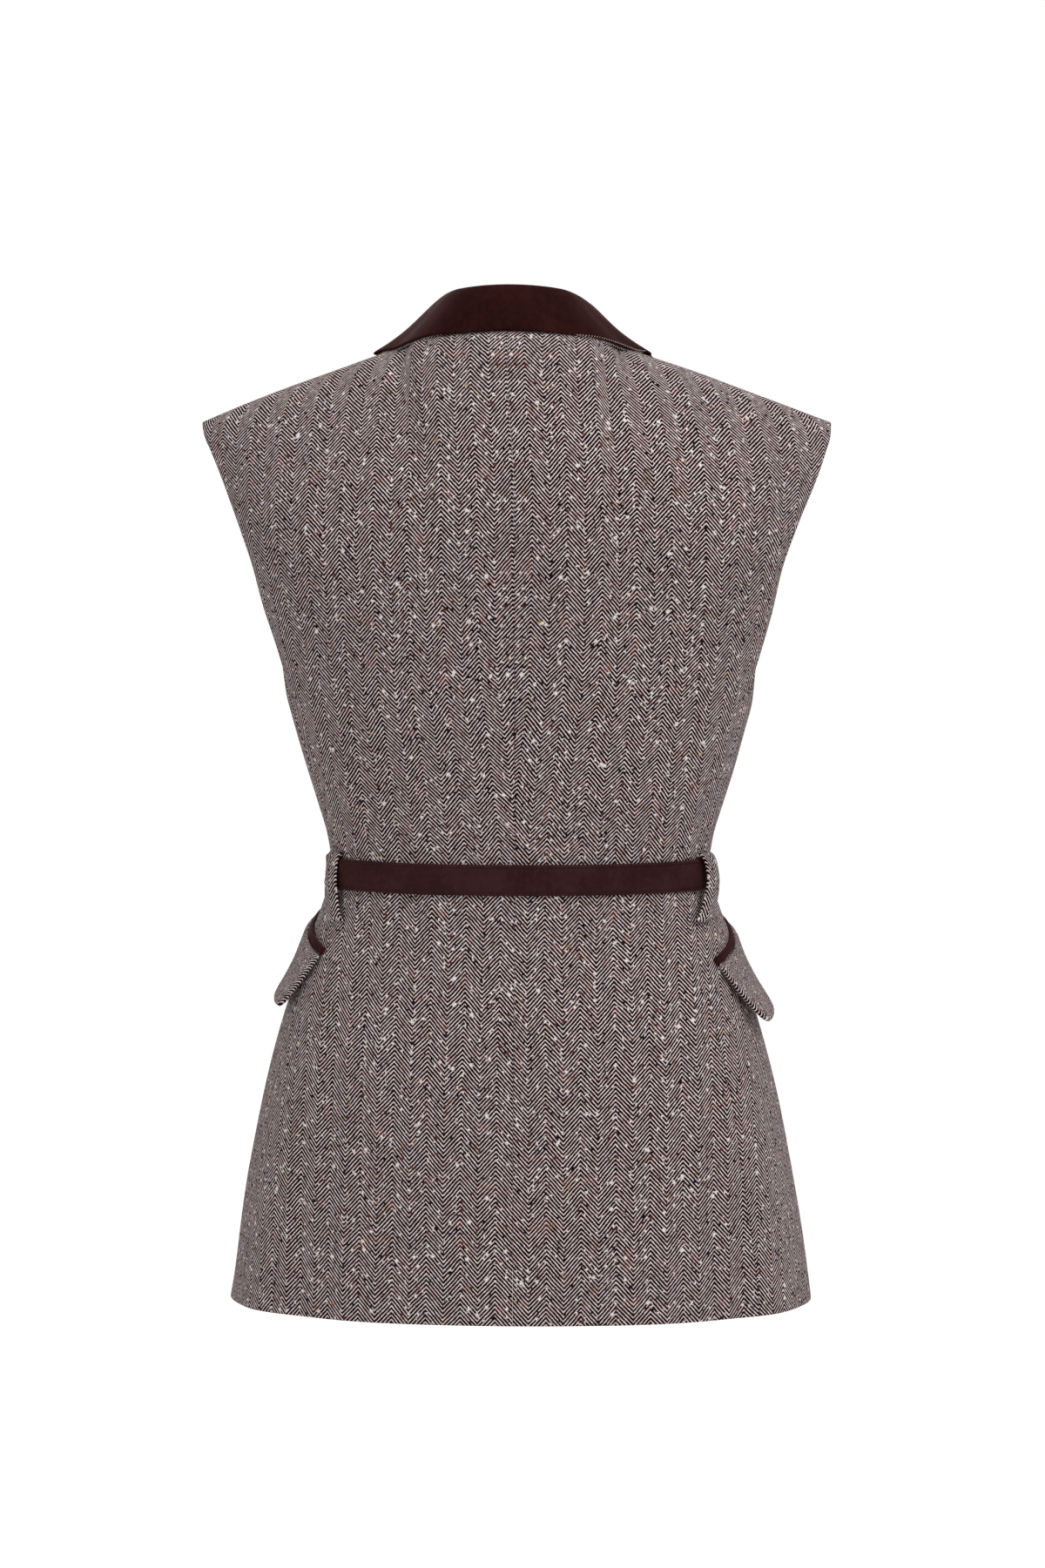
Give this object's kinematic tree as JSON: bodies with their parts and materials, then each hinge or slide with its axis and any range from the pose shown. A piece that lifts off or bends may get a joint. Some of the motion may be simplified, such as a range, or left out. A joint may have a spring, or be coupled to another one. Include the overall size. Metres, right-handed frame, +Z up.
{
  "type": "suit waistcoat",
  "caption": "Belted sleeveless tweed waistcoat with padded shoulders, turned-down leather collar, leather belt in cloth loops and slanted pocket flaps, filled out as worn",
  "frame": {"origin": "between the shoulders, at the height where the collar meets the shoulder line, where a wearer's shoulders carry the garment", "axes": "+Z up; the front faces -Y and the back +Y; the garment's left side is at +X"},
  "size_m": [0.4329, 0.2621, 0.7012],
  "materials": {
    "tweed": "herringbone wool tweed, matt and slightly hairy",
    "leather": "smooth dark oxblood leather with a soft sheen",
    "buckle": "dark satin metal",
    "button": "dark horn"
  },
  "bodies": {
    "root": {"back_left": "tweed", "back_right": "tweed", "belt": "leather", "belt_loop_left": "tweed", "belt_loop_right": "tweed", "buckle_frame": "buckle", "buckle_prong": "buckle", "button_lower": "button", "button_upper": "button", "collar": "leather", "flap_left": "tweed", "flap_right": "tweed", "flap_welt_left": "leather", "flap_welt_right": "leather", "front_left": "tweed", "front_right": "tweed", "side_left": "tweed", "side_right": "tweed", "under_collar": "tweed"}
  },
  "joints": []
}
